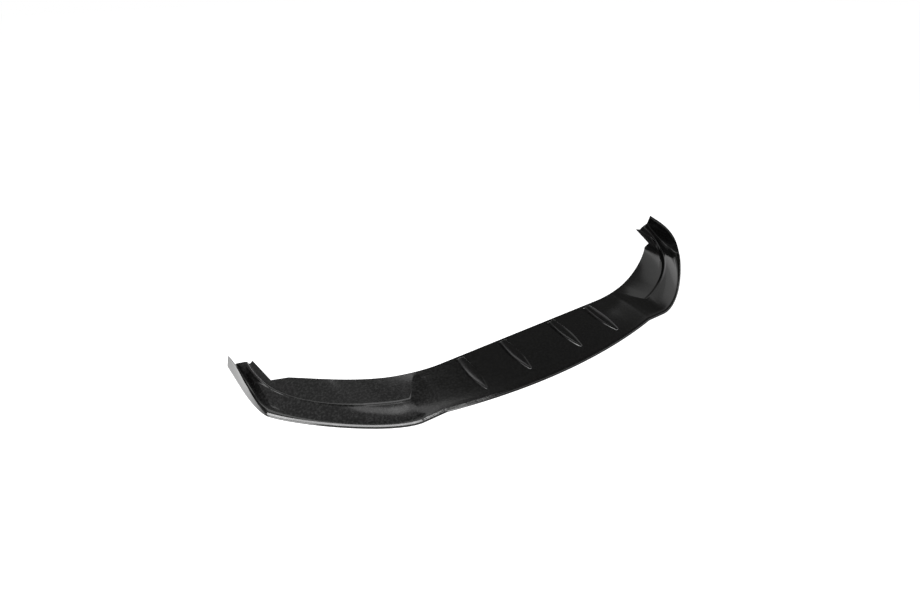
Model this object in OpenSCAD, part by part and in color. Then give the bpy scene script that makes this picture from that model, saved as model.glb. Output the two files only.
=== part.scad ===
// Front splitter lip for a car: one moulded skin with a turned-down front rim, two stepped seats
// for the bumper's corners, a finger and an upswept winglet at each end, and four fins on its blade.
// Millimetres. X runs across the car, -Y is the front, Z is up, and the rim's underside is at Z = 0.

/* [Front edge] */
// Half the overall width, from the middle to the foot of a winglet
half_w = 891; // [880:1:925]
// How far the middle of the front edge bows forward of the straight stretch beside it
bow = 44; // [30:1:52]
// Half the width of the bowed stretch
bow_half = 405; // [385:1:420]
// Where the straight stretch ends and the edge sweeps back, from the middle
sweep_x = 476; // [465:1:495]
// How far the winglet's front corner lies behind the straight stretch
corner_y = 238; // [222:1:250]
// How far the winglet's front corner lies inside the overall width
corner_in = 50; // [44:1:58]
// How far the rear end of a winglet's foot lies behind the straight stretch
foot_y = 459; // [447:1:475]

/* [Rear edge] */
// Depth of the centre blade behind the straight stretch
blade_y = 180; // [168:1:188]
// Half the width of the blade's straight rear edge
blade_half = 330; // [310:1:345]
// How far the finger's root lies inside the overall width
root_in = 97; // [91:1:103]
// How far the finger's root lies behind the straight stretch
root_y = 362; // [350:1:370]
// Length of the rear edge's shoulder beside the finger's root
shoulder = 52; // [38:1:60]
// How far the finger's rear inner corner lies inside the overall width
tip_in = 71; // [67:1:76]
// How far the finger's rear end lies behind the straight stretch
tip_y = 461; // [449:1:473]

/* [Seat for the bumper] */
// Where the seat's inner boundary meets the rear edge, from the middle
seat_x = 405; // [390:1:415]
// How far the seat's front corner lies behind the straight stretch
seat_y = 94; // [84:1:102]
// How far the step's rear end lies inside the overall width
crease_in = 54; // [50:1:58]
// Width of the step's slope beside the wing
step_w = 10; // [8:0.5:13]
// Width of the step's slope at the finger's rear end
step_end_w = 17; // [13:0.5:19]
// Depth of the step at the seat's front corner
step_front = 1; // [0.5:0.25:3]
// Depth of the step beside the finger's root
step_root = 11; // [6:0.5:14]
// Depth of the step at the finger's rear end
step_end = 16; // [10:0.5:18]

/* [Heights] */
// Height of the rim in the middle
rim_h = 10; // [8:0.5:14]
// Rise of the wing's front edge from the sweep to the winglet's front corner
rim_rise = 5; // [2:0.5:9]
// Height of the ridge at the seat's front corner
ridge_front = 17; // [14:0.5:21]
// Height of the ridge beside the finger's root
ridge_root = 35; // [31:0.5:39]
// Height of the ridge at the finger's rear end
ridge_end = 59; // [53:0.5:63]
// Height of the rear edge where the seat begins
rear_seat = 13; // [11:0.5:16]
// Height of the rear edge at the finger's root
rear_root = 28; // [24:0.5:32]
// How far the rear edge swells above a straight rise, at its highest
rear_swell = 9; // [5:0.5:12]
// Height of the finger's rear inner corner
rear_tip = 43; // [39:0.5:47]
// Height of the winglet foot's underside at its front corner
foot_front = 12; // [8:0.5:14]
// Height of the winglet foot's underside at its rear end
foot_end = 48; // [35:0.5:52]

/* [Winglets] */
// Height of a winglet's top
wing_h = 97; // [85:1:115]
// Inward lean of a winglet from foot to top
wing_lean = 11; // [6:1:16]
// Forward rake of a winglet's rear edge
wing_rake = 6; // [0:1:16]
// Thickness of a winglet at its top
wing_t = 4; // [3:0.25:6]
// Width of the hollow blend between winglet and band at the front
blend_front = 34; // [26:1:40]
// Width of the hollow blend between winglet and band at the rear
blend_end = 24; // [21:1:28]

/* [Fins] */
// Distance of an inner fin from the middle
fin_inner_x = 102; // [80:1:130]
// Distance of an outer fin from the middle
fin_outer_x = 264; // [230:1:290]
// Length of a fin
fin_l = 155; // [120:1:162]
// Gap between a fin's rear end and the blade's rear edge
fin_gap = 15; // [3:1:25]
// Width of a fin at its widest
fin_w = 42; // [30:1:48]
// Height of a fin at its rear end
fin_h = 9; // [6:0.5:14]
// Draft of a fin's sides, in from the foot to the top
fin_draft = 8; // [4:0.5:12]

/* [Skin] */
// Thickness of the moulded skin
skin = 3; // [2.5:0.1:4]
// Distance of the rim's inner face from the outermost edge
rim_t = 6; // [5:0.25:7.5]
// Radius of the rim's rounded nose
rim_r = 5; // [4:0.25:5.25]
// Slope of the rim's face, in from the nose to the upper edge
rim_in = 0.5; // [0:0.25:2]

/* [Hidden] */
// Rungs on each stretch of half the lip: blade, inner seat, swept wing, winglet and finger
RUNGS = [8, 8, 20, 14];
// Points across the step's slope, less one
STEP_N = 6;
// Slices along a fin, less one
FIN_N = 5;
// Outer points of the plan, on the half where X is positive
corner = [half_w - corner_in, corner_y];
foot_rear = [half_w, foot_y];
root = [half_w - root_in, root_y];
tip = [half_w - tip_in, tip_y];
crease_rear = [half_w - crease_in, tip_y - 18];
shoulder_pt = root - shoulder * [cos(22), sin(22)];
// Plan curves as cubic Beziers: the swept front edge, the winglet's foot, the rear edge and the ridge
sweep_curve = [[sweep_x, 0], [sweep_x + 90, 0], corner - [70, 74], corner];
foot_curve = [corner, corner + [30, 50], foot_rear - [14, 90], foot_rear];
rear_curve = [[blade_half, blade_y], [blade_half + 146, blade_y], shoulder_pt - [100, 81], shoulder_pt];
ridge_curve = [[sweep_x + 27, seat_y], [sweep_x + 172, seat_y + 50], crease_rear - [15, 186], crease_rear];
// Share of the ridge curve that lies ahead of the rung through the finger's root
ridge_share = 0.76;
// Share of the swept wing's rungs that end on the rear curve, the rest end on the shoulder
curve_share = 0.86;
// Least distance from the ridge to the rear edge
ridge_gap = 26;
// Width of the upper edge's rounding where the rim has no winglet
rim_blend = 10;
// Rise of the front edge above the band at the winglet's front corner
corner_rise = 9;
// Crown of the band between rim and ridge
crown = 1.5;
// A fin's widest point as a share of its length from the front, its front end's height, its slices
fin_widest = 0.55;
fin_tip_h = 2;
fin_slice_t = 0.02;
// The lip is centred on its depth
front_y = -bow;
mid_y = (front_y + max(foot_y, tip_y)) / 2;

function lerp(a, b, t) = a + (b - a) * t;
function ease(t) = let (c = max(0, min(1, t))) c * c * (3 - 2 * c);
function bezier(p, t) =
    p[0] * pow(1 - t, 3) + 3 * p[1] * t * pow(1 - t, 2) + 3 * p[2] * t * t * (1 - t) + p[3] * pow(t, 3);
// The parameter at which a curve that runs outwards reaches x, by halving
function reach(p, x, lo = 0, hi = 1, n = 24) =
    let (m = (lo + hi) / 2)
    n == 0 ? m :
    bezier(p, m).x < x ? reach(p, x, m, hi, n - 1) : reach(p, x, lo, m, n - 1);
// The front edge between the sweeps: a shallow bow, then a straight stretch
function bow_y(x) = -bow * max(0, 1 - pow(x / bow_half, 2));
rear_split = reach(rear_curve, sweep_x);

// What one rung needs: plan points [front, ridge, rear], then heights [foot, crest, band start,
// ridge, rear edge], then [step depth, lean, blend width, blend power, crest radius, rake, step width]
function rung(part, t) =
    part == 0 ? blade_rung(blade_half * t, blade_y, t) :
    part == 1 ? let (p = bezier(rear_curve, rear_split * t)) seat_rung(p, t) :
    part == 2 ? wing_rung(t) : finger_rung(t);

function blade_rung(x, y, t) =
    [[[x, bow_y(x)], [x, y - ridge_gap], [x, y]],
     [0, rim_h, rim_h, rim_h, rim_h],
     [0, rim_in, rim_blend, 3, rim_r, 0, step_w]];

// The ridge starts at the rear edge and runs forward along the seat's inner boundary to its corner
function seat_rung(p, t) =
    let (s = (p.x - seat_x) / (sweep_x - seat_x),
         c = max(0, min(1, s)),
         up = ease((p.x - blade_half) / (seat_x + 30 - blade_half)),
         y = min(p.y - ridge_gap, lerp(p.y, seat_y - 6, lerp(c, ease(s), 0.35))))
    [[[p.x, bow_y(p.x)], [p.x, y], p],
     [0, rim_h, rim_h, lerp(rim_h, ridge_front, up * (0.3 + 0.7 * c)), lerp(rim_h, rear_seat, t)],
     [step_front * c, rim_in, rim_blend, 3, rim_r, 0, step_w]];

function wing_rung(t) =
    let (r = t < curve_share ? bezier(rear_curve, lerp(rear_split, 1, t / curve_share))
                             : lerp(shoulder_pt, root, (t - curve_share) / (1 - curve_share)),
         lift = rim_rise * pow(t, 1.5),
         swell = rear_swell * sin(180 * pow(t, 1.6)))
    [[bezier(sweep_curve, t), bezier(ridge_curve, ridge_share * t), r],
     [lerp(lift, foot_front, pow(t, 6)), rim_h + lift + corner_rise * pow(t, 6), rim_h + lift,
      lerp(ridge_front, ridge_root, pow(t, 1.3)), lerp(rear_seat, rear_root, t) + swell],
     [lerp(step_front, step_root, ease(1.6 * t - 0.3)), rim_in, lerp(rim_blend, blend_front, pow(t, 3)),
      3, rim_r, 0, step_w]];

function finger_rung(t) =
    let (band = rim_h + rim_rise, up = 1 - pow(1 - pow(t, 1.25), 3.4))
    [[bezier(foot_curve, t), bezier(ridge_curve, lerp(ridge_share, 1, t)), lerp(root, tip, t)],
     [lerp(foot_front, foot_end, pow(t, 1.2)), lerp(band + corner_rise, wing_h, up),
      lerp(band, ridge_end, t), lerp(ridge_root, ridge_end, t), lerp(rear_root, rear_tip, t)],
     [lerp(step_root, step_end, t), lerp(rim_in, wing_lean, ease(1.4 * t)),
      lerp(blend_front, blend_end, ease(t)), lerp(3, 6, t), lerp(rim_r, wing_t / 2, ease(3 * t)),
      wing_rake * pow(t, 3), lerp(step_w, step_end_w, t)]];

// Upper side of a rung as [distance inwards, height]: nose, face, crest, hollow, band, step and seat
function upper(g) =
    let (lk = norm(g[0][1] - g[0][0]), lr = lk + norm(g[0][2] - g[0][1]),
         foot = g[1][0], crest = g[1][1], band = g[1][2], ridge = g[1][3], rear = g[1][4],
         depth = g[2][0], lean = g[2][1], blend = g[2][2], power = g[2][3], r = g[2][4], w = g[2][6],
         s0 = lean + r + max(0, wing_t - 2 * r) + 0.4)
    concat(
        [for (a = [60, 30, 0]) [rim_r * (1 - cos(a)), foot + rim_r * (1 - sin(a) / sin(60))]],
        [for (a = [0, 30, 60, 90]) [lean + r * (1 - cos(a)), crest - r * (1 - sin(a))]],
        [for (q = [0.03, 0.2, 0.45, 0.7, 1])
            [lerp(s0, max(blend, s0 + 5), q), lerp(band, crest, pow(1 - q, power))]],
        [for (q = [1 / 3, 2 / 3])
            [lerp(max(blend, s0 + 5), lk - w / 3, q), lerp(band, ridge, q) + crown * 4 * q * (1 - q)]],
        [for (i = [0 : STEP_N]) let (q = i / STEP_N) [lk + w * (q - 1 / 3), ridge - depth * ease(q)]],
        [[lerp(lk + w * 2 / 3, lr, 0.5), lerp(ridge - depth, rear, 0.5)], [lr, rear]]);

// Plan point at a distance inwards along a rung that bends at the ridge
function along(g, s) =
    let (lk = norm(g[0][1] - g[0][0]))
    s < lk ? lerp(g[0][0], g[0][1], s / lk)
           : g[0][1] + (s - lk) * (g[0][2] - g[0][1]) / norm(g[0][2] - g[0][1]);

// Outward normal of a polyline at point i
function normal(p, i) =
    let (d = p[min(i + 1, len(p) - 1)] - p[max(i - 1, 0)]) [-d.y, d.x] / norm(d);

// Underside of a rung: the rim's inner face, its inside corner, then the skin's own thickness below
function under(g, top) =
    let (foot = g[1][0], roof = g[1][2] - skin, lean = g[2][1])
    [for (i = [0 : len(top) - 1])
        i == 0 ? [rim_t, foot] :
        i == 1 ? [rim_t + 0.2, lerp(foot, roof, 0.4)] :
        i < 11 ? [rim_t + 0.4 + 0.4 * (i - 2), roof - 2.4 + 0.25 * (i - 2)] :
        i == len(top) - 1 ? top[i] - [0, skin] :
        top[i] - skin * normal(top, i)];

function place(g, p) =
    let (q = along(g, p[0]),
         lift = max(0, p[1] - g[1][2]) / max(1, g[1][1] - g[1][2]))
    [q.x, q.y - mid_y - g[2][5] * lift, p[1]];

function ring(g) =
    let (top = upper(g), low = under(g, top))
    concat([for (p = top) place(g, p)], [for (i = [len(low) - 1 : -1 : 0]) place(g, low[i])]);

half_rings = [for (part = [0 : 3]) for (i = [1 : RUNGS[part]]) ring(rung(part, i / RUNGS[part]))];
rings = concat(
    [for (i = [len(half_rings) - 1 : -1 : 0]) [for (p = half_rings[i]) [-p.x, p.y, p.z]]],
    [ring(rung(0, 0))], half_rings);

// The moulded skin, one closed loft over all rungs with its two ends capped in strips
module shell() {
    n = len(rings[0]);
    m = len(rings);
    polyhedron(
        points = [for (r = rings) each r],
        faces = concat(
            [for (j = [0 : m - 2]) for (i = [0 : n - 1])
                let (a = j * n + i, b = j * n + (i + 1) % n, c = b + n, d = a + n)
                each [[a, b, c], [a, c, d]]],
            [for (i = [0 : n / 2 - 2]) let (k = n - 1 - i) each [[i, k, i + 1], [i + 1, k, k - 1]]],
            [for (i = [0 : n / 2 - 2]) let (o = (m - 1) * n, k = n - 1 - i)
                each [[o + i, o + i + 1, o + k], [o + i + 1, o + k - 1, o + k]]]));
}

// Width and height of a fin at a share of its length from the front tip
function fin_width(s) =
    fin_w * (s < fin_widest ? lerp(0.25, 1, sin(90 * s / fin_widest))
                            : 1 - 0.22 * pow((s - fin_widest) / (1 - fin_widest), 2));
function fin_height(s) = lerp(fin_tip_h, fin_h, pow(s, 0.8));

module fin_slice(s) {
    w = fin_width(s);
    h = fin_height(s);
    top = w * (1 - 2 * fin_draft / fin_w);
    translate([0, -fin_l * (1 - s), 0]) rotate([90, 0, 0]) linear_extrude(fin_slice_t)
        polygon([[-w / 2, -skin / 2], [w / 2, -skin / 2], [top / 2, h], [-top / 2, h]]);
}

module fin() {
    for (i = [0 : FIN_N - 1]) hull() {
        fin_slice(i / FIN_N);
        fin_slice((i + 1) / FIN_N);
    }
}

module fins() {
    for (x = [-fin_outer_x, -fin_inner_x, fin_inner_x, fin_outer_x])
        translate([x, blade_y - fin_gap - mid_y, rim_h]) fin();
}

module splitter_lip() {
    color([0.05, 0.05, 0.055]) union() {
        shell();
        fins();
    }
}

splitter_lip();
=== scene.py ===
"""A black front splitter lip, rebuilt from one photograph.

A smooth skin is laid over the CAD frame, with its finish, the light and the camera.
"""

import math

import bpy
import numpy as np
from mathutils import Matrix, Vector


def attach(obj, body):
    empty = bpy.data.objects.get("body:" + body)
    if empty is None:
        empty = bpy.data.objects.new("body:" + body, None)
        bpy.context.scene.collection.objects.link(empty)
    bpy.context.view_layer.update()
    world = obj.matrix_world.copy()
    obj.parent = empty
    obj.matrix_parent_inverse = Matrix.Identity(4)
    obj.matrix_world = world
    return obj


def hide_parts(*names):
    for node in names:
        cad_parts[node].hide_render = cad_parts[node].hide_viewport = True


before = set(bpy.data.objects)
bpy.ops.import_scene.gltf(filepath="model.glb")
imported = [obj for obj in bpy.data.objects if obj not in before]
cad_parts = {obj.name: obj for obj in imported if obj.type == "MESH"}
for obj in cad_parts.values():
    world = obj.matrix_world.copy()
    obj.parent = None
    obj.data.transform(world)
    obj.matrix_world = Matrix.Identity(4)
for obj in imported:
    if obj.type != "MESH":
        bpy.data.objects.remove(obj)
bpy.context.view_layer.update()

MM = 0.001

# Driving sizes in millimetres, as in the CAD source: Y = 0 is the straight stretch beside the bow
HALF_W, BOW, BOW_HALF = 891, 44, 405
SWEEP_X, CORNER_IN, CORNER_Y, FOOT_Y = 476, 50, 238, 459
BLADE_Y, BLADE_HALF = 180, 330
ROOT_IN, ROOT_Y, SHOULDER, TIP_IN, TIP_Y = 97, 362, 52, 71, 461
SEAT_X, SEAT_Y, CREASE_IN = 405, 94, 54
STEP_W, STEP_END_W, STEP_FRONT, STEP_ROOT, STEP_END = 10, 17, 1, 11, 16
RIM_H, RIM_RISE = 10, 5
RIDGE_FRONT, RIDGE_ROOT, RIDGE_END = 17, 35, 59
REAR_SEAT, REAR_ROOT, REAR_TIP, REAR_SWELL = 13, 28, 43, 9
FOOT_FRONT, FOOT_END, CORNER_RISE, WING_H, WING_LEAN, WING_RAKE, WING_T = 12, 48, 9, 97, 11, 6, 4
RIM_BLEND, BLEND_FRONT, BLEND_END = 10, 34, 24
SKIN, RIM_T, RIM_R = 3, 6, 5
RIDGE_GAP, CROWN = 26, 1.5
FIN_X, FIN_L, FIN_GAP, FIN_W, FIN_H = (102, 264), 155, 15, 42, 9
MID_Y = (TIP_Y - BOW) / 2

# The bead along the rim's upper edge: its height and how far its face leans in
BEAD, BEAD_IN = 2, 2
# Rounding of the winglet's top edge, and the soft roll along the crease: its height and width
WING_R, ROLL, ROLL_W = 1, 1.5, 4.5
# The roll starts where the step is this high, and is full where the step is this much higher
ROLL_FROM, ROLL_OVER = 0.6, 3

# How the rungs' values run along each stretch: powers of its share t, and slopes of an ease
SEAT_FADE, SEAT_LEAD, SEAT_EASE, SEAT_RISE, STEP_FADE = 30, 6, 0.35, 0.3, 4
LIFT_POWER, CORNER_POWER, RIDGE_POWER, SWELL_POWER, BLEND_POWER = 1.5, 6, 1.3, 1.6, 3
STEP_SLOPE, STEP_DELAY = 1.6, 0.3
FOOT_POWER, CREST_IN_POWER, CREST_OUT_POWER, BAND_POWER, RAKE_POWER = 1.2, 1.25, 3.4, 1.9, 3
LEAN_SLOPE, ROUND_SLOPE = 1.4, 3
HOLLOW_POWER, HOLLOW_POWER_END = 3, 6

# The cross-section: the rounding under the rim, and the narrow flat across its crest, in degrees
NOSE_ANGLE = math.pi / 3
CREST_FLAT, FLAT_SHARES = (20, 88), (0.1, 0.5, 0.9)
# Gap from the crest to the hollow, and the hollow's least width, in millimetres
CREST_GAP, HOLLOW_MIN = 0.4, 5
# The share of the hollow's width at which its first point lies
HOLLOW_FIRST = 0.02
# The share of the step that lies before the ridge, and how late the step drops
STEP_AHEAD, STEP_POWER = 1 / 3, 1.6
# Inside of the rim, in millimetres: the draft of its wall, then the fillet up to the skin
WALL_DRAFT, FILLET_IN, FILLET_W, FILLET_DROP, FILLET_RISE = 0.2, 0.4, 3, 2.4, 2.2
# Points along each part of the cross-section
NOSE_STEPS, FACE_STEPS, ARC_STEPS, HOLLOW_STEPS = 6, 6, 2, 16
BAND_STEPS, ROLL_STEPS, STEP_STEPS, FLOOR_STEPS = 10, 12, 22, 8
# Rungs on the blade, the inner seat, the swept wing and the winglet, for half the lip
RUNGS = (46, 40, 110, 60)

# Fins, in millimetres: height of the nose, slope of the sides, crown, flare and edge rounding
FIN_NOSE_H, FIN_SLOPE, FIN_CROWN, FIN_FLARE, FIN_EDGE = 4, 0.65, 1.4, 8, 1.6
# Fins, as shares: where they are widest, how narrow the tip and the rear are, and the round ends
FIN_WIDEST, FIN_TIP_W, FIN_TAPER, FLARE_FROM, FIN_ROUND = 0.55, 0.25, 0.22, 0.94, 0.035
FIN_RISE_POWER, FIN_END_H, FIN_MIN_H, FIN_MIN_W = 0.8, 0.25, 0.05, 0.1
# The rounded edge of a fin's top, as a share of its height at most, and where its points lie
FIN_EDGE_SHARE, EDGE_IN, EDGE_DOWN = 0.4, 0.7, 0.25
# Least half width of a fin's top in millimetres, and the point halfway up its crown, as shares
FIN_TOP_MIN, CROWN_IN, CROWN_UP = 0.3, 0.5, 0.75
# Shares of a fin's length at its slices, close together at its two ends
NOSE_SLICES = (0.0, 0.001, 0.003, 0.007, 0.013, 0.021, 0.03)
BODY_SLICES, BODY_FROM, BODY_TO = 28, 0.04, 0.94
REAR_SLICES = (0.952, 0.964, 0.972, 0.98, 0.987, 0.993, 0.997, 1.0)

# Edges between faces that meet at more than this many degrees stay sharp
SHARP_ANGLE = 32

# Finish: gloss, the grain of the surface, and a speckle of dust in the base colour, made lighter towards the
# left end as a painted sheen
ROUGHNESS, IOR, BASE_GREY = 0.12, 1.5, 0.003
GRAIN_SCALE, GRAIN_DETAIL, BUMP_STRENGTH, BUMP_DEPTH = 160, 2, 0.12, 0.0004
DUST_AND_SHEEN_GRAIN, DUST_AND_SHEEN_LEVEL = (0.42, 0.7), (0, 0.016)
PAINTED_SHEEN_X, PAINTED_SHEEN_SHARE = (-0.2, -0.5), (0.25, 1)

# The room's dim grey, as its light and as the lip's gloss shows it, and the grey of the dark cards
ROOM_GREY = (0.1, 0.1, 0.097, 1)
CARD_GREY = (0.004, 0.004, 0.004, 1)
WHITE = (1, 1, 1, 1)
FLOOR_HALF, FLOOR_GREY, FLOOR_GLOW = 12.0, (0.55, 0.55, 0.55, 1), 0.95
ROOM_HALF, ROOM_HIGH = 11.0, 7.0

# The photograph's viewpoint: pixels, degrees, and millimetres from the CAD's own Y = 0
FOCAL_PX, PHOTO_W, SENSOR, CLIP_END = 519.9, 920, 36, 100
YAW, PITCH, TILT = 31.17, 35.29, 0.46
CAMERA_X, CAMERA_Y, CAMERA_Z = -899.1, -889.1, 1074.0


# Curves
def lerp(a, b, t):
    return a + (b - a) * t


def ease(t):
    c = min(max(t, 0.0), 1.0)
    return c * c * (3 - 2 * c)


def bezier(p, t):
    u = 1 - t
    return p[0] * u**3 + 3 * p[1] * t * u**2 + 3 * p[2] * t * t * u + p[3] * t**3


def spread(n, lo=0.0, hi=1.0):
    """Values from lo to hi in n even steps."""
    return [lerp(lo, hi, i / n) for i in range(n + 1)]


def vec(*v):
    return np.array(v, float)


# How far the crease ends before the tip, and the direction of the shoulder's edge
CREASE_SHORT, SHOULDER_ANGLE = 18, math.radians(22)
CORNER = vec(HALF_W - CORNER_IN, CORNER_Y)
FOOT_REAR = vec(HALF_W, FOOT_Y)
ROOT = vec(HALF_W - ROOT_IN, ROOT_Y)
TIP = vec(HALF_W - TIP_IN, TIP_Y)
CREASE_REAR = vec(HALF_W - CREASE_IN, TIP_Y - CREASE_SHORT)
SHOULDER_PT = ROOT - SHOULDER * vec(math.cos(SHOULDER_ANGLE), math.sin(SHOULDER_ANGLE))

# Handles of the four curves, in millimetres from the ends that they belong to
SWEEP_OUT, SWEEP_BACK = vec(90, 0), vec(70, 74)
FOOT_OUT, FOOT_BACK = vec(30, 50), vec(14, 90)
REAR_OUT, REAR_BACK = vec(146, 0), vec(100, 81)
RIDGE_OUT, RIDGE_BACK = vec(145, 50), vec(15, 186)
# How far outside the start of the sweep the crease starts
CREASE_OUT = vec(27, 0)
SWEEP_FRONT = vec(SWEEP_X, 0)
REAR_FRONT = vec(BLADE_HALF, BLADE_Y)
CREASE_FRONT = vec(SWEEP_X, SEAT_Y) + CREASE_OUT
SWEEP_CURVE = (SWEEP_FRONT, SWEEP_FRONT + SWEEP_OUT, CORNER - SWEEP_BACK, CORNER)
FOOT_CURVE = (CORNER, CORNER + FOOT_OUT, FOOT_REAR - FOOT_BACK, FOOT_REAR)
REAR_CURVE = (REAR_FRONT, REAR_FRONT + REAR_OUT, SHOULDER_PT - REAR_BACK, SHOULDER_PT)
RIDGE_CURVE = (CREASE_FRONT, CREASE_FRONT + RIDGE_OUT, CREASE_REAR - RIDGE_BACK, CREASE_REAR)
# The share of the ridge that belongs to the wing, and of the wing that the rear curve spans
RIDGE_SHARE, CURVE_SHARE = 0.76, 0.86


def reach(p, x):
    """The parameter at which a curve that runs outwards reaches x, by halving."""
    lo, hi = 0.0, 1.0
    for _ in range(30):
        m = (lo + hi) / 2
        lo, hi = (m, hi) if bezier(p, m)[0] < x else (lo, m)
    return (lo + hi) / 2


REAR_SPLIT = reach(REAR_CURVE, SWEEP_X)


def bow_y(x):
    return -BOW * max(0.0, 1 - (x / BOW_HALF) ** 2)


# Rungs of the skin: each is one cross-section, with its places in plan, heights and widths.
# The blade, the seat and the wing share these values, except where their rungs give their own.
PLAIN = dict(foot=0, crest=RIM_H + BEAD, band=RIM_H, wide=STEP_W, lean=BEAD_IN, blend=RIM_BLEND,
             power=HOLLOW_POWER, r=RIM_R, rake=0)


def blade_rung(t):
    x = BLADE_HALF * t
    return PLAIN | dict(front=vec(x, bow_y(x)), ridge=vec(x, BLADE_Y - RIDGE_GAP), rear=vec(x, BLADE_Y),
                        ridge_z=RIM_H, rear_z=RIM_H, step=0)


def seat_rung(t):
    rear = bezier(REAR_CURVE, REAR_SPLIT * t)
    s = (rear[0] - SEAT_X) / (SWEEP_X - SEAT_X)
    run = min(max(s, 0.0), 1.0)
    up = ease((rear[0] - BLADE_HALF) / (SEAT_X + SEAT_FADE - BLADE_HALF))
    inwards = ease(s) * SEAT_EASE + run * (1 - SEAT_EASE)
    y = min(rear[1] - RIDGE_GAP, lerp(rear[1], SEAT_Y - SEAT_LEAD, inwards))
    return PLAIN | dict(front=vec(rear[0], bow_y(rear[0])), ridge=vec(rear[0], y), rear=rear,
                        ridge_z=lerp(RIM_H, RIDGE_FRONT, up * lerp(SEAT_RISE, 1, run)),
                        rear_z=lerp(RIM_H, REAR_SEAT, t), step=STEP_FRONT * run**STEP_FADE)


def wing_rung(t):
    on_curve = t < CURVE_SHARE
    rear = (bezier(REAR_CURVE, lerp(REAR_SPLIT, 1, t / CURVE_SHARE)) if on_curve
            else lerp(SHOULDER_PT, ROOT, (t - CURVE_SHARE) / (1 - CURVE_SHARE)))
    lift = RIM_RISE * t**LIFT_POWER
    corner = t**CORNER_POWER
    swell = REAR_SWELL * math.sin(math.pi * t**SWELL_POWER)
    return PLAIN | dict(front=bezier(SWEEP_CURVE, t), ridge=bezier(RIDGE_CURVE, RIDGE_SHARE * t), rear=rear,
                        foot=lerp(lift, FOOT_FRONT, corner), band=RIM_H + lift,
                        crest=RIM_H + lift + BEAD + (CORNER_RISE - BEAD) * corner,
                        ridge_z=lerp(RIDGE_FRONT, RIDGE_ROOT, t**RIDGE_POWER),
                        rear_z=lerp(REAR_SEAT, REAR_ROOT, t) + swell,
                        step=lerp(STEP_FRONT, STEP_ROOT, ease(STEP_SLOPE * t - STEP_DELAY)),
                        blend=lerp(RIM_BLEND, BLEND_FRONT, t**BLEND_POWER))


def finger_rung(t):
    band = RIM_H + RIM_RISE
    climb = 1 - (1 - t**CREST_IN_POWER) ** CREST_OUT_POWER
    return dict(front=bezier(FOOT_CURVE, t), ridge=bezier(RIDGE_CURVE, lerp(RIDGE_SHARE, 1, t)),
                rear=lerp(ROOT, TIP, t), foot=lerp(FOOT_FRONT, FOOT_END, t**FOOT_POWER),
                crest=lerp(band + CORNER_RISE, WING_H, climb), band=lerp(band, RIDGE_END, t**BAND_POWER),
                ridge_z=lerp(RIDGE_ROOT, RIDGE_END, t), rear_z=lerp(REAR_ROOT, REAR_TIP, t),
                step=lerp(STEP_ROOT, STEP_END, t), wide=lerp(STEP_W, STEP_END_W, t),
                lean=lerp(BEAD_IN, WING_LEAN, ease(LEAN_SLOPE * t)),
                blend=lerp(BLEND_FRONT, BLEND_END, ease(t)), power=lerp(HOLLOW_POWER, HOLLOW_POWER_END, t),
                r=lerp(RIM_R, WING_R, ease(ROUND_SLOPE * t)), rake=WING_RAKE * t**RAKE_POWER)


def nose_and_face(rung):
    """The rounded lower edge of the rim and its leaning face."""
    foot, top = rung["foot"], rung["crest"] - rung["r"]
    nose = [(RIM_R * (1 - math.cos(a)), foot + RIM_R * (1 - math.sin(a) / math.sin(NOSE_ANGLE)))
            for a in spread(NOSE_STEPS, NOSE_ANGLE, 0)]
    face = [(rung["lean"] * q, lerp(foot + RIM_R, top, q)) for q in spread(FACE_STEPS)[1:-1]]
    return nose + face


def rounding(rung, angle):
    """A point on the rounding from the rim's face to its crest."""
    r = rung["r"]
    return (rung["lean"] + r * (1 - math.cos(angle)), rung["crest"] - r * (1 - math.sin(angle)))


def crest_arc(rung):
    """The rounding of the rim's upper edge, with a narrow flat cut across it."""
    first, last = [math.radians(a) for a in CREST_FLAT]
    ends = [vec(*rounding(rung, a)) for a in (first, last)]
    return ([rounding(rung, a) for a in spread(ARC_STEPS, 0, first)]
            + [tuple(lerp(*ends, q)) for q in FLAT_SHARES]
            + [rounding(rung, a) for a in spread(ARC_STEPS, last, math.pi / 2)])


def ridge_and_seat(rung, start, to_ridge, to_rear):
    """The band up to the ridge with its soft roll, the step behind it, and the floor of the seat."""
    wide, ridge_z, drop = rung["wide"], rung["ridge_z"], rung["step"]
    roll = ROLL * min(1, max(0, drop - ROLL_FROM) / ROLL_OVER)
    edge = to_ridge - wide * STEP_AHEAD
    fine = max(start + 1, edge - 3 * ROLL_W)
    band = []
    for a in spread(BAND_STEPS, start, fine)[1:-1] + spread(ROLL_STEPS, fine, edge)[:-1]:
        q = (a - start) / (edge - start)
        swell = CROWN * 4 * q * (1 - q) + roll * math.exp(-(((edge - a) / ROLL_W) ** 2))
        band.append((a, lerp(rung["band"], ridge_z, q) + swell))
    step = [(to_ridge + wide * (q - STEP_AHEAD), ridge_z + roll * (1 - ease(q)) - drop * ease(q**STEP_POWER))
            for q in spread(STEP_STEPS)]
    seat = to_ridge + wide * (1 - STEP_AHEAD)
    floor = [(lerp(seat, to_rear, q), lerp(ridge_z - drop, rung["rear_z"], q))
             for q in spread(FLOOR_STEPS)[1:]]
    return band + step + floor


def upper(rung):
    """Upper side of a rung as (distance inwards, height), in four groups from the foot to the rear edge."""
    to_ridge = np.linalg.norm(rung["ridge"] - rung["front"])
    to_rear = to_ridge + np.linalg.norm(rung["rear"] - rung["ridge"])
    first = rung["lean"] + rung["r"] + max(0, WING_T - 2 * rung["r"]) + CREST_GAP
    last = max(rung["blend"], first + HOLLOW_MIN)
    hollow = [(lerp(first, last, q), lerp(rung["band"], rung["crest"], (1 - q) ** rung["power"]))
              for q in spread(HOLLOW_STEPS, HOLLOW_FIRST)]
    return nose_and_face(rung), crest_arc(rung), hollow, ridge_and_seat(rung, last, to_ridge, to_rear)


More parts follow.
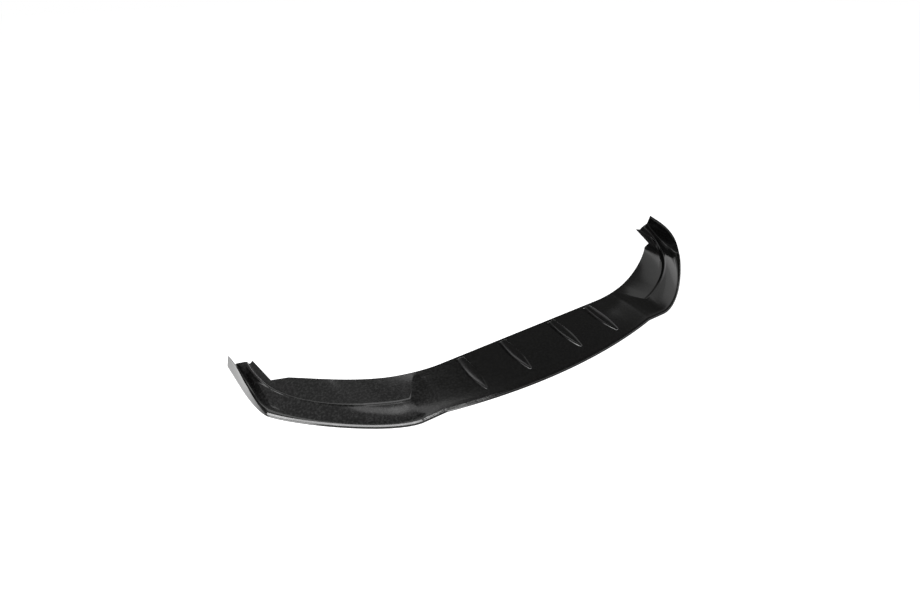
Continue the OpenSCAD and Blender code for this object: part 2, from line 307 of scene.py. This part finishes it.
def under(rung, groups):
    """Underside of a rung, one point for each of the upper side's."""
    face, arc, hollow, rest = groups
    roof = rung["band"] - SKIN
    wall = [(RIM_T + WALL_DRAFT * q, lerp(rung["foot"], roof - FILLET_DROP, q))
            for q in spread(len(face) - 1)]
    fillet = [(RIM_T + FILLET_IN + FILLET_W * q, roof - FILLET_DROP + FILLET_RISE * q)
              for q in spread(len(arc) + len(hollow) - 1)]
    top = np.array(rest)
    along = np.gradient(top, axis=0)
    outwards = np.stack([-along[:, 1], along[:, 0]], 1)
    outwards /= np.linalg.norm(outwards, axis=1)[:, None]
    low = top - SKIN * outwards
    low[-1] = top[-1] - (0, SKIN)
    return wall + fillet + [tuple(p) for p in low]


def place(rung, point):
    """A point at a distance inwards along a rung that bends at the ridge, in millimetres."""
    inwards, height = point
    to_ridge = np.linalg.norm(rung["ridge"] - rung["front"])
    behind = np.linalg.norm(rung["rear"] - rung["ridge"])
    q = (lerp(rung["front"], rung["ridge"], inwards / to_ridge) if inwards < to_ridge
         else rung["ridge"] + (inwards - to_ridge) * (rung["rear"] - rung["ridge"]) / behind)
    lift = max(0.0, height - rung["band"]) / max(1.0, rung["crest"] - rung["band"])
    return (q[0], q[1] - MID_Y - rung["rake"] * lift, height)


def ring(rung):
    groups = upper(rung)
    top = [p for group in groups for p in group]
    return [place(rung, p) for p in top + under(rung, groups)[::-1]]


def skin_mesh():
    """The whole skin, from its left end to its right, with faces that point outwards."""
    parts = (blade_rung, seat_rung, wing_rung, finger_rung)
    half = [ring(part(i / n)) for part, n in zip(parts, RUNGS) for i in range(1, n + 1)]
    middle = ring(blade_rung(0.0))
    rings = [[(-x, y, z) for x, y, z in r] for r in reversed(half)] + [middle] + half
    n, m = len(middle), len(rings)
    faces = []
    for j in range(m - 1):
        for i in range(n):
            a, b = j * n + i, j * n + (i + 1) % n
            faces.append((a, a + n, b + n, b))
    # The two ends are closed by strips from the upper side to the underside
    for i in range(n // 2 - 1):
        k = n - 1 - i
        faces.append((i, i + 1, k - 1, k))
        end = (m - 1) * n
        faces.append((end + i, end + k, end + k - 1, end + i + 1))
    return [tuple(c * MM for c in p) for r in rings for p in r], faces


# Fins
def dome(s):
    """Rises like a quarter circle from 0 at s = 0 to 1 at the length of a fin's round end."""
    return math.sqrt(max(0.0, 1 - max(0.0, 1 - s / FIN_ROUND) ** 2))


def fin_width(s):
    """Width of a fin: a spindle with a round tip, flared a little at its rear corners."""
    wide = (lerp(FIN_TIP_W, 1, math.sin(math.radians(90 * s / FIN_WIDEST))) if s < FIN_WIDEST
            else 1 - FIN_TAPER * ((s - FIN_WIDEST) / (1 - FIN_WIDEST)) ** 2)
    flare = max(0.0, (s - FLARE_FROM) / (1 - FLARE_FROM)) ** 2
    return FIN_W * wide * max(FIN_MIN_W, dome(s)) + FIN_FLARE * flare


def fin_height(s):
    """Height of a fin, rising from a small round nose and rounded off at its rear end."""
    rise = lerp(FIN_NOSE_H, FIN_H, s**FIN_RISE_POWER)
    return rise * max(FIN_MIN_H, min(dome(s), lerp(FIN_END_H, 1, dome(1 - s))))


def fin_outline(w, h):
    """Cross-section of a fin with sloping sides, from its right foot over the crown to its left foot."""
    edge = min(FIN_EDGE, h * FIN_EDGE_SHARE)
    shoulder = max(FIN_TOP_MIN, w / 2 - FIN_SLOPE * h - edge)
    crown = FIN_CROWN * h / FIN_H
    side = [(w / 2, -SKIN / 2), (w / 2, 0), (shoulder + edge * (1 + FIN_SLOPE), h - edge),
            (shoulder + EDGE_IN * edge, h - EDGE_DOWN * edge), (shoulder, h),
            (shoulder * CROWN_IN, h + CROWN_UP * crown)]
    return side + [(0, h + crown)] + [(-a, b) for a, b in reversed(side)]


def fin_mesh(x):
    """One fin, from its nose to its rear end."""
    body = [lerp(BODY_FROM, BODY_TO, q) for q in spread(BODY_SLICES)]
    slices = [*NOSE_SLICES, *body, *REAR_SLICES]
    points, faces = [], []
    for s in slices:
        y = BLADE_Y - FIN_GAP - MID_Y - FIN_L * (1 - s)
        outline = fin_outline(fin_width(s), fin_height(s))
        points += [((x + a) * MM, y * MM, (RIM_H + b) * MM) for a, b in outline]
    n = len(outline)
    for j in range(len(slices) - 1):
        for i in range(n):
            a, b = j * n + i, j * n + (i + 1) % n
            faces.append((a, a + n, b + n, b))
    faces.append(tuple(range(n)))
    faces.append(tuple(reversed(range(len(points) - n, len(points)))))
    return points, faces


def make_object(name, points, faces, material):
    mesh = bpy.data.meshes.new(name)
    mesh.from_pydata(points, [], faces)
    mesh.validate()
    mesh.materials.append(material)
    mesh.polygons.foreach_set("use_smooth", [True] * len(mesh.polygons))
    mesh.set_sharp_from_angle(angle=math.radians(SHARP_ANGLE))
    obj = bpy.data.objects.new(name, mesh)
    bpy.context.scene.collection.objects.link(obj)
    return obj


# Finish
def empty_material(name):
    """A material with no nodes yet: the material, its nodes and its links."""
    mat = bpy.data.materials.new(name)
    mat.use_nodes = True
    mat.node_tree.nodes.clear()
    return mat, mat.node_tree.nodes, mat.node_tree.links


def map_range(nodes, source, target):
    """A node that turns values between the two of source into values between the two of target."""
    node = nodes.new("ShaderNodeMapRange")
    for socket, value in zip(("From Min", "From Max", "To Min", "To Max"), source + target):
        node.inputs[socket].default_value = value
    return node


def math_node(nodes, operation):
    node = nodes.new("ShaderNodeMath")
    node.operation = operation
    return node


def black_gloss():
    """Gloss black moulding with a fine grain and a speckle of dust, its base colour lighter towards its left
    end as a painted sheen.
    """
    mat = bpy.data.materials.new("gloss_black")
    mat.use_nodes = True
    nodes, links = mat.node_tree.nodes, mat.node_tree.links
    bsdf = nodes["Principled BSDF"]
    bsdf.inputs["Roughness"].default_value = ROUGHNESS
    bsdf.inputs["IOR"].default_value = IOR
    coord = nodes.new("ShaderNodeTexCoord")
    grain = nodes.new("ShaderNodeTexNoise")
    grain.inputs["Scale"].default_value = GRAIN_SCALE
    grain.inputs["Detail"].default_value = GRAIN_DETAIL
    dust_and_sheen = map_range(nodes, DUST_AND_SHEEN_GRAIN, DUST_AND_SHEEN_LEVEL)
    # Painted sheen: the speckle's base colour grows lighter towards the left end, standing in for the sheen
    # of the light that falls there
    split = nodes.new("ShaderNodeSeparateXYZ")
    side = map_range(nodes, PAINTED_SHEEN_X, PAINTED_SHEEN_SHARE)
    share = math_node(nodes, "MULTIPLY")
    colour = math_node(nodes, "ADD")
    colour.inputs[1].default_value = BASE_GREY
    bump = nodes.new("ShaderNodeBump")
    bump.inputs["Strength"].default_value = BUMP_STRENGTH
    bump.inputs["Distance"].default_value = BUMP_DEPTH
    links.new(coord.outputs["Object"], grain.inputs["Vector"])
    links.new(coord.outputs["Object"], split.inputs[0])
    links.new(split.outputs["X"], side.inputs["Value"])
    links.new(grain.outputs["Fac"], dust_and_sheen.inputs["Value"])
    links.new(dust_and_sheen.outputs[0], share.inputs[0])
    links.new(side.outputs[0], share.inputs[1])
    links.new(share.outputs[0], colour.inputs[0])
    links.new(colour.outputs[0], bsdf.inputs["Base Color"])
    links.new(grain.outputs["Fac"], bump.inputs["Height"])
    links.new(bump.outputs["Normal"], bsdf.inputs["Normal"])
    return mat


def build_lip():
    mat = black_gloss()
    points, faces = skin_mesh()
    for x in FIN_X:
        for side in (-1, 1):
            fin_points, fin_faces = fin_mesh(side * x)
            faces += [tuple(i + len(points) for i in face) for face in fin_faces]
            points += fin_points
    lip = make_object("lip_skin", points, faces, mat)
    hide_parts("splitter_lip")
    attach(lip, "root")


# Floor and world
def build_floor():
    """A pale floor that keeps the lip's shadow and is white to the camera and to a gloss."""
    s = FLOOR_HALF
    mesh = bpy.data.meshes.new("floor")
    mesh.from_pydata([(-s, -s, 0), (s, -s, 0), (s, s, 0), (-s, s, 0)], [], [(0, 1, 2, 3)])
    mat, nodes, links = empty_material("floor_white")
    out = nodes.new("ShaderNodeOutputMaterial")
    add = nodes.new("ShaderNodeAddShader")
    diffuse = nodes.new("ShaderNodeBsdfDiffuse")
    diffuse.inputs["Color"].default_value = FLOOR_GREY
    glow = nodes.new("ShaderNodeEmission")
    path = nodes.new("ShaderNodeLightPath")
    seen = math_node(nodes, "MAXIMUM")
    strength = math_node(nodes, "MULTIPLY")
    strength.inputs[1].default_value = FLOOR_GLOW
    links.new(path.outputs["Is Camera Ray"], seen.inputs[0])
    links.new(path.outputs["Is Glossy Ray"], seen.inputs[1])
    links.new(seen.outputs[0], strength.inputs[0])
    links.new(strength.outputs[0], glow.inputs["Strength"])
    links.new(diffuse.outputs[0], add.inputs[0])
    links.new(glow.outputs[0], add.inputs[1])
    links.new(add.outputs[0], out.inputs["Surface"])
    mesh.materials.append(mat)
    floor = bpy.data.objects.new("floor", mesh)
    bpy.context.scene.collection.objects.link(floor)


def build_world():
    """White to camera, glossy and transmission rays, and a dim light on everything else."""
    world = bpy.data.worlds.new("studio")
    bpy.context.scene.world = world
    world.use_nodes = True
    nodes, links = world.node_tree.nodes, world.node_tree.links
    nodes.clear()
    out = nodes.new("ShaderNodeOutputWorld")
    dim = nodes.new("ShaderNodeBackground")
    white = nodes.new("ShaderNodeBackground")
    mix = nodes.new("ShaderNodeMixShader")
    path = nodes.new("ShaderNodeLightPath")
    glossy = math_node(nodes, "MAXIMUM")
    seen = math_node(nodes, "MAXIMUM")
    dim.inputs["Color"].default_value = ROOM_GREY
    white.inputs["Color"].default_value = WHITE
    links.new(path.outputs["Is Glossy Ray"], glossy.inputs[0])
    links.new(path.outputs["Is Transmission Ray"], glossy.inputs[1])
    links.new(path.outputs["Is Camera Ray"], seen.inputs[0])
    links.new(glossy.outputs[0], seen.inputs[1])
    links.new(seen.outputs[0], mix.inputs["Fac"])
    links.new(dim.outputs[0], mix.inputs[1])
    links.new(white.outputs[0], mix.inputs[2])
    links.new(mix.outputs[0], out.inputs["Surface"])


# Light
def toward(azimuth, height):
    """Unit vector from its angle right of straight back and its angle above the floor, in degrees."""
    a, h = math.radians(azimuth), math.radians(height)
    return Vector((math.sin(a) * math.cos(h), math.cos(a) * math.cos(h), math.sin(h)))


def softbox(name, seen_from, azimuth, height, far, size, level, shift=(0, 0)):
    """A flat lamp facing the point it is placed from, moved right and up in its own plane."""
    data = bpy.data.lights.new(name, "AREA")
    data.shape = "RECTANGLE"
    data.size, data.size_y = size
    data.energy = level * math.pi * size[0] * size[1]
    obj = bpy.data.objects.new(name, data)
    ray = toward(azimuth, height)
    right = Vector((ray.y, -ray.x, 0)).normalized()
    obj.location = Vector(seen_from) + far * ray + shift[0] * right + shift[1] * right.cross(ray)
    obj.rotation_euler = (-ray).to_track_quat("-Z", "Y").to_euler()
    bpy.context.scene.collection.objects.link(obj)


# Places on the lip that the lamps are placed from
LEFT_WING, MIDDLE, RIGHT_WING = (-0.6, 0.0, 0.0), (0.0, -0.1, 0.0), (0.65, 0.05, 0.0)
# Place, azimuth and height in degrees, distance, size, brightness, and where needed the shift.
# Lamps that overlap stand at slightly different distances, because in one plane they hide each other.
LAMPS = {
    "wing_box": (LEFT_WING, -20, 55, 2.6, (3.5, 2.0), 0.13, (-0.15, 0)),
    "wing_box_edge": (LEFT_WING, -20, 55, 2.64, (3.9, 2.0), 0.13, (0.05, 0)),
    "wing_spot": (LEFT_WING, 24, 57, 2.5, (0.4, 0.4), 1.5),
    "fin_box": (MIDDLE, 25, 58, 2.7, (1.0, 0.4), 1.1),
    "right_wall": (RIGHT_WING, 70, 28, 3.0, (2.15, 1.52), 0.45, (0.125, -0.14)),
    "right_wall_end": (RIGHT_WING, 70, 28, 3.04, (1.35, 1.4), 0.25, (0.525, -0.14)),
    "right_wall_low": (RIGHT_WING, 76, 17, 3.08, (1.3, 1.1), 0.35),
    "back_wall": (LEFT_WING, 28, 13, 3.2, (2.8, 0.8), 1.0),
    "crease_box": (LEFT_WING, 18, 29, 3.0, (1.2, 1.0), 1.2),
    "ring_right": (LEFT_WING, 146, 54, 2.2, (0.2, 0.4), 20),
}
# A ring of lamps around the left wing, for the thin line on its rim: height, distance, size, brightness
RING, RING_AZIMUTHS = (43, 2.2, (0.58, 0.6), 10), range(168, 269, 20)
RING_END = (LEFT_WING, 285, 43, 2.2, (0.5, 0.6), 3)


def build_light():
    for name, lamp in LAMPS.items():
        softbox(name, *lamp)
    for azimuth in RING_AZIMUTHS:
        softbox(f"ring_{azimuth}", LEFT_WING, azimuth, *RING)
    softbox("ring_285", *RING_END)


def gloss_card(name, points, faces, grey):
    """A card that only shows in the lip's gloss, with one even grey."""
    mesh = bpy.data.meshes.new(name)
    mesh.from_pydata(points, [], faces)
    mat, nodes, links = empty_material(name)
    glow = nodes.new("ShaderNodeEmission")
    glow.inputs["Color"].default_value = grey
    out = nodes.new("ShaderNodeOutputMaterial")
    links.new(glow.outputs[0], out.inputs["Surface"])
    mesh.materials.append(mat)
    card = bpy.data.objects.new(name, mesh)
    card.visible_camera = card.visible_diffuse = card.visible_shadow = False
    bpy.context.scene.collection.objects.link(card)


# Corners of the dark cards, in metres
DARK_CARDS = {
    "card_floor": [(0.1, 0.1, 0.001), (0.85, 0.1, 0.001), (0.85, 1.6, 0.001), (0.1, 1.6, 0.001)],
    "card_back": [(0.7, 1.6, 0), (2.1, 1.6, 0), (2.1, 1.6, 1.0), (0.7, 1.6, 1.0)],
    "card_left": [(-2.2, 0.3, 0.35), (-1.3, 1.4, 0.35), (-1.3, 1.4, 1.25), (-2.2, 0.3, 1.25)],
}


def build_cards():
    """The dim walls and ceiling that keep the white off the gloss, and three dark cards nearer the lip."""
    s = ROOM_HALF
    corners = [(x, y, z) for z in (0, ROOM_HIGH) for x, y in ((-s, -s), (s, -s), (s, s), (-s, s))]
    walls = [(0, 1, 5, 4), (1, 2, 6, 5), (2, 3, 7, 6), (3, 0, 4, 7), (4, 5, 6, 7)]
    gloss_card("card_room", corners, walls, ROOM_GREY)
    for name, points in DARK_CARDS.items():
        gloss_card(name, points, [(0, 1, 2, 3)], CARD_GREY)


# Camera
def build_camera():
    """The photograph's viewpoint, solved from the lip's two mirrored halves."""
    data = bpy.data.cameras.new("camera")
    data.sensor_width = SENSOR
    data.lens = FOCAL_PX / PHOTO_W * SENSOR
    data.clip_end = CLIP_END
    cam = bpy.data.objects.new("camera", data)
    yaw, pitch, tilt = math.radians(YAW), math.radians(PITCH), math.radians(TILT)
    level = Vector((math.cos(yaw), -math.sin(yaw), 0))
    ahead = Vector((math.sin(yaw) * math.cos(pitch), math.cos(yaw) * math.cos(pitch), -math.sin(pitch)))
    down = ahead.cross(level)
    right = level * math.cos(tilt) + down * math.sin(tilt)
    up = level * math.sin(tilt) - down * math.cos(tilt)
    turn = Matrix((right, up, -ahead)).transposed().to_4x4()
    spot = Vector((CAMERA_X, CAMERA_Y - MID_Y, CAMERA_Z + RIM_H)) * MM
    cam.matrix_world = Matrix.Translation(spot) @ turn
    bpy.context.scene.collection.objects.link(cam)
    bpy.context.scene.camera = cam


build_lip()
build_floor()
build_world()
build_light()
build_cards()
build_camera()
bpy.context.scene.view_settings.view_transform = "Standard"
